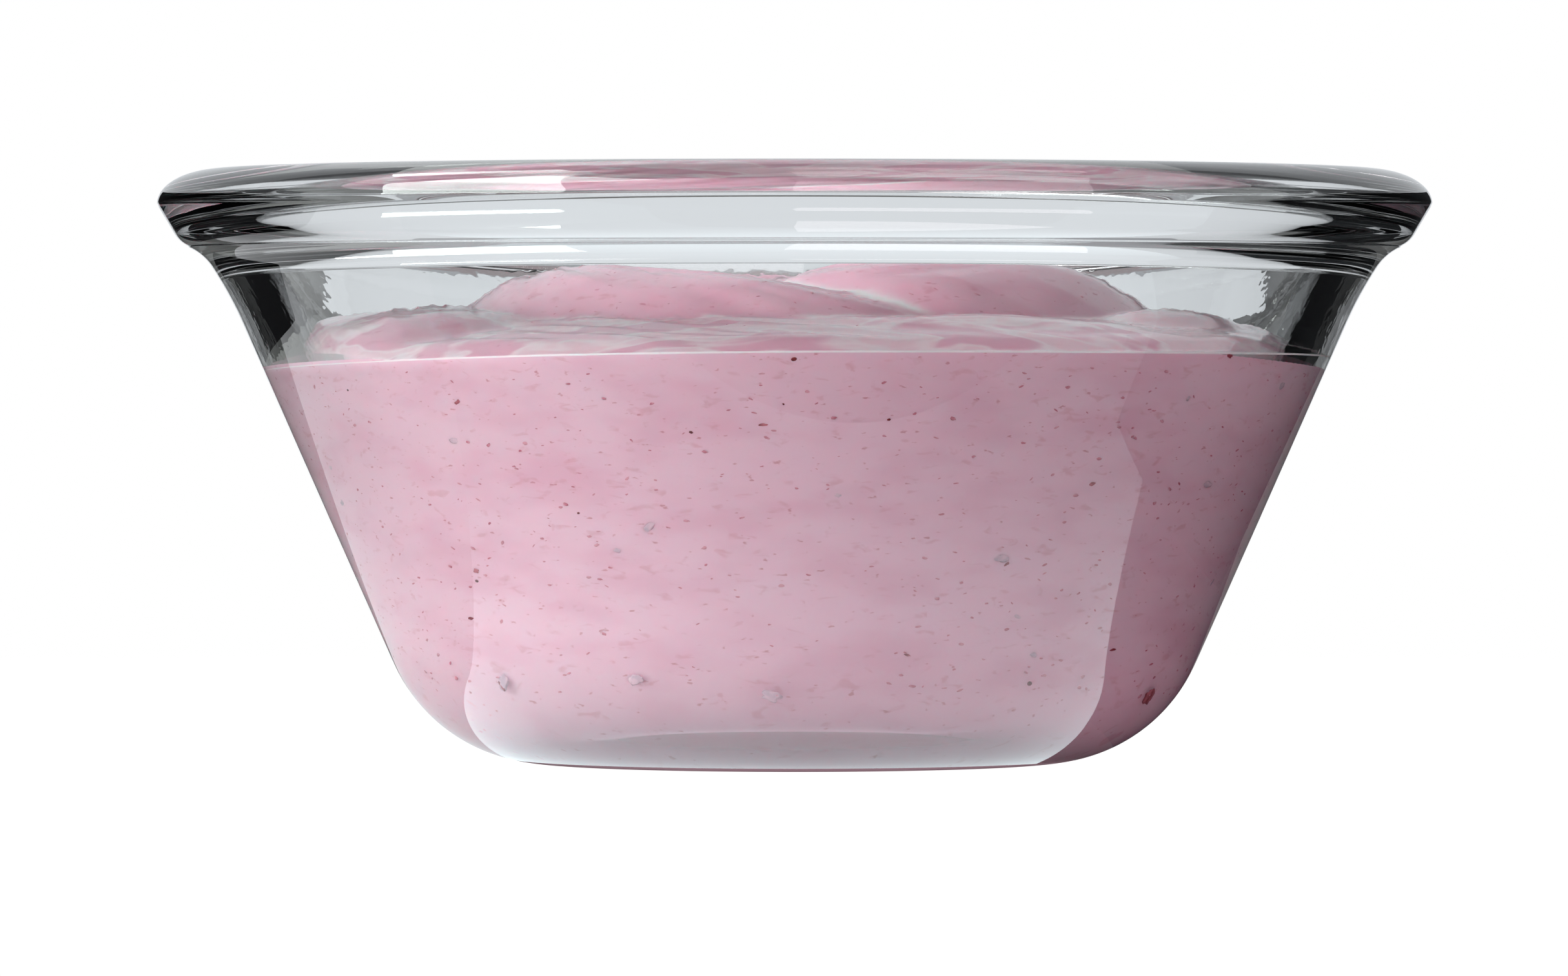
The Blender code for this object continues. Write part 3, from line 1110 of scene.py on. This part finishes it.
SOFT_BOXES = (
    SoftBox(
        "backdrop",
        Glow("pale_backdrop", "#DEE2E6", 1.0),
        (-0.25, 0.9, 0.40),
        (2.1, 0.9),
        towards=(-0.25, 0.0, 0.40),
        lights_matt=False,
    ),
    SoftBox(
        "key_light",
        Glow("key_soft_box", "#F7FFFB", 13.0),
        (-0.75, -0.20, 0.23),
        (0.9, 0.44),
        in_glass=False,
    ),
    SoftBox(
        "fill_light",
        Glow("fill_soft_box", "#FFF6F9", 3.6),
        (0.46, -0.80, 0.25),
        (1.1, 0.46),
        in_glass=False,
    ),
    SoftBox(
        "gleam_light",
        Glow("gleam_card", "#FFFFFF", 7.0),
        (-0.22, -0.05, 0.45),
        (0.22, 0.16),
        lights_matt=False,
    ),
    SoftBox("top_light", Glow("top_soft_box", "#FFF0F4", 0.3), (0.0, 0.15, 0.80), (0.8, 0.6)),
)


@dataclass
class Studio:
    """Pale floor, backdrop, soft lights and the camera. Sizes in metres."""

    eye: Place = (-0.00092, -0.892, 0.0346)
    aim: Place = (-0.00092, 0.0, 0.0237)
    lens_mm: float = 237.0
    sensor_mm: float = 36.0
    floor_half: float = 1.2
    floor_glow: float = 1.0
    floor_fade: Point = (0.16, 0.34)
    sheen: Point = (2.75, 0.60)
    # Painted shade of the bowl on the front table card, close round the foot.
    foot_shade_reach: Point = (0.024, 0.036)
    foot_shade_share: float = 0.50
    sheen_reach: Point = (0.040, 0.080)
    sheen_middle: float = 0.002
    card_left: tuple[Point, Point] = ((-0.024, -0.004), (-0.19, -0.10))
    card_right: tuple[Point, Point] = ((0.0280, -0.0155), (0.19, -0.042))
    side_card_back: float = 0.10
    card_height: float = 0.0004
    flag_bottoms: Point = (0.026, 0.0)
    flag_distance: float = 0.068
    flag_front: float = -0.036
    flag_back: float = 0.068
    flag_height: float = 0.056
    shade_radius: float = 0.048
    shade_sides: int = 48
    floor_colour: str = "#8C8C8C"
    sheen_colour: str = "#EDFBFF"
    room_colour: str = "#A4A6AA"
    room_for_matt: str = "#2A2B2D"

    def sheet(
        self,
        name: str,
        centre: Place,
        size: Point,
        towards: Place,
        finish: Material,
        seen: bool = False,
    ) -> bpy.types.Object:
        """Hangs a flat sheet in the studio.

        Args:
            name: The sheet's name.
            centre: Its middle.
            size: Its width and height.
            towards: The point that it faces.
            finish: Its material.
            seen: Whether the camera sees it directly.

        Returns:
            The sheet.
        """
        bm = bmesh.new()
        bmesh.ops.create_grid(bm, x_segments=1, y_segments=1, size=0.5)
        turn = (Vector(towards) - Vector(centre)).to_track_quat("Z", "Y").to_matrix().to_4x4()
        scale = Matrix.Diagonal((size[0], size[1], 1.0, 1.0))
        bm.transform(Matrix.Translation(centre) @ turn @ scale)
        sheet = finished_piece(name, bm, [finish])
        sheet.visible_camera = seen
        return sheet

    def floor(self) -> None:
        """Lays the floor: a matt white table, overexposed to the camera, that fades into the room."""
        material, tree = new_material("white_table")
        path = add_node(tree, "ShaderNodeLightPath")
        glow = times(tree, path.outputs["Is Camera Ray"], self.floor_glow)
        card = add_node(
            tree,
            "ShaderNodeBsdfPrincipled",
            inputs={
                "Base Color": linear(self.floor_colour),
                "Roughness": 0.8,
                "Specular IOR Level": 0.0,
                "Emission Color": linear("#FFFFFF"),
                "Emission Strength": glow,
            },
        )
        place = add_node(tree, "ShaderNodeTexCoord")
        from_axis = add_node(
            tree, "ShaderNodeVectorMath", {"operation": "LENGTH"}, {0: place.outputs["Object"]}
        )
        fade = ramp(tree, from_axis.outputs["Value"], *self.floor_fade)
        fade = times(tree, fade, path.outputs["Is Camera Ray"])
        clear = add_node(tree, "ShaderNodeBsdfTransparent")
        both = add_node(
            tree, "ShaderNodeMixShader", inputs={0: fade, 1: card.outputs[0], 2: clear.outputs[0]}
        )
        finish_surface(tree, both)
        size = (2.0 * self.floor_half, 2.0 * self.floor_half)
        self.sheet("floor", (0.0, 0.0, 0.0), size, (0.0, 0.0, 1.0), material, True)

    def lights(self) -> None:
        """Hangs the backdrop and the soft boxes, which light the bowl but aren't seen themselves."""
        for box in SOFT_BOXES:
            sheet = self.sheet(box.name, box.centre, box.size, box.towards, box.finish.material())
            sheet.visible_glossy = box.in_glass
            sheet.visible_diffuse = box.lights_matt

    def sheen_finish(self) -> Material:
        """The table in front, brightest just round the foot and falling off towards the camera, with
        painted shade of the bowl on it close under the foot.
        """
        material, tree = new_material("overexposed_table")
        place = add_node(tree, "ShaderNodeTexCoord")
        away, from_axis = [
            add_node(
                tree,
                "ShaderNodeVectorMath",
                {"operation": "DISTANCE"},
                {0: place.outputs["Object"], 1: (middle, 0.0, 0.0)},
            ).outputs["Value"]
            for middle in (self.sheen_middle, 0.0)
        ]
        strength = ramp(tree, away, *self.sheen_reach, *self.sheen)
        # Painted shade: the card glows less close under the foot, where the bowl shades the table.
        painted_foot_shade = ramp(tree, from_axis, *self.foot_shade_reach, self.foot_shade_share)
        glow = times(tree, strength, painted_foot_shade)
        colour = linear(self.sheen_colour)
        shader = add_node(tree, "ShaderNodeEmission", inputs={"Color": colour, "Strength": glow})
        finish_surface(tree, shader)
        return material

    def table_card(
        self, name: str, corners: Sequence[Point], finish: Material, lights_yogurt: bool
    ) -> bpy.types.Object:
        """Lays a flat card on the table, seen only in the glass.

        Args:
            name: The card's name.
            corners: Its corners in the table's plane.
            finish: Its material.
            lights_yogurt: Whether light from it, or its dark, also gets through the glass.

        Returns:
            The card.
        """
        bm = bmesh.new()
        bm.faces.new([bm.verts.new((x, y, self.card_height)) for x, y in corners])
        bmesh.ops.recalc_face_normals(bm, faces=bm.faces)
        card = finished_piece(name, bm, [finish])
        card.visible_camera = False
        card.visible_diffuse = False
        card.visible_shadow = False
        card.visible_transmission = lights_yogurt
        return card

    def foot_shade(self) -> None:
        """Lays a faintly glowing rosy disc under the foot, seen only through the glass: painted shade
        of the table under the heel, with painted rosy light from the yogurt.
        """
        # Painted shade and painted rosy light: the disc glows instead of the table being shaded by the
        # bowl.
        material = Glow("shaded_table", "#CFA5B3", 0.65).material()
        corners = arc((0.0, 0.0), self.shade_radius, 0.0, TAU, self.shade_sides)[:-1]
        shade = self.table_card("foot_shade", corners, material, True)
        shade.visible_glossy = False

    def table_cards(self) -> None:
        """Lays a white card in front, a pale one at the left and a black one at the right.

        The bowl's front mirrors them as a veil with a hard edge at each side.
        """
        left, right = self.card_left, self.card_right
        front = [left[0], right[0], right[1], left[1]]
        self.table_card("front_card", front, self.sheen_finish(), False)
        pale = Glow("pale_table_card", "#E6E9EC", 1.0).material()
        black = Glow("black_table_card", "#303134", 1.0).material()
        for name, edge, finish in (("side_card_left", left, pale), ("side_card_right", right, black)):
            near, far = edge
            corners = [near, far, (far[0], self.side_card_back), (near[0], self.side_card_back)]
            self.table_card(name, corners, finish, False)

    def flags(self) -> None:
        """Stands a black card at each side, which draws the dark lines in the glass's edges.

        Only the glass shows them: they take no light from the yogurt or the floor.
        """
        material, tree = new_material("black_card")
        shader = add_node(
            tree,
            "ShaderNodeBsdfPrincipled",
            inputs={"Base Color": linear("#141517"), "Roughness": 0.9, "Specular IOR Level": 0.1},
        )
        finish_surface(tree, shader)
        sides = (("flag_left", -1.0), ("flag_right", 1.0))
        for (name, side), bottom in zip(sides, self.flag_bottoms):
            x = side * self.flag_distance
            centre = (x, 0.5 * (self.flag_front + self.flag_back), 0.5 * (bottom + self.flag_height))
            size = (self.flag_back - self.flag_front, self.flag_height - bottom)
            card = self.sheet(name, centre, size, (0.0, centre[1], centre[2]), material)
            card.visible_diffuse = False
            card.visible_shadow = False

    def world(self) -> None:
        """White behind the object for the camera, a dim room for everything else."""
        world = bpy.data.worlds.new("studio_room")
        bpy.context.scene.world = world
        world.use_nodes = True
        tree = world.node_tree
        tree.nodes.clear()
        path = add_node(tree, "ShaderNodeLightPath")
        dim = mix_colour(
            tree,
            path.outputs["Is Diffuse Ray"],
            linear(self.room_colour),
            linear(self.room_for_matt),
        )
        room = add_node(tree, "ShaderNodeBackground", inputs={"Color": dim})
        white = add_node(tree, "ShaderNodeBackground", inputs={"Color": linear("#FFFFFF")})
        both = add_node(
            tree,
            "ShaderNodeMixShader",
            inputs={0: path.outputs["Is Camera Ray"], 1: room.outputs[0], 2: white.outputs[0]},
        )
        output = add_node(tree, "ShaderNodeOutputWorld")
        tree.links.new(both.outputs[0], output.inputs["Surface"])

    def camera(self) -> None:
        """Sets up the camera at the photo's eye level and distance."""
        data = bpy.data.cameras.new("front_camera")
        data.lens = self.lens_mm
        data.sensor_width = self.sensor_mm
        data.clip_start = 0.01
        data.clip_end = 20.0
        camera = bpy.data.objects.new("front_camera", data)
        camera.location = self.eye
        look = Vector(self.aim) - Vector(self.eye)
        camera.rotation_euler = look.to_track_quat("-Z", "Y").to_euler()
        bpy.context.scene.collection.objects.link(camera)
        bpy.context.scene.camera = camera

    def build(self) -> None:
        """Sets up the studio."""
        self.camera()
        self.floor()
        self.lights()
        self.flags()
        self.table_cards()
        self.foot_shade()
        self.world()
        view = bpy.context.scene.view_settings
        view.view_transform = "Standard"
        view.look = "None"


def report(piece: bpy.types.Object) -> None:
    """Logs a finished piece."""
    LOG.info("%s: %d faces", piece.name, len(piece.data.polygons))


def main() -> None:
    """Builds the studio and the pieces."""
    logging.basicConfig(level=logging.INFO)
    Studio().build()
    bowl = Bowl()
    report(bowl.build())
    fill = YogurtFill(bowl)
    report(fill.build())
    for kind in BitKind:
        report(FruitBits(bowl, fill, kind).build())


if __name__ == "__main__":
    main()
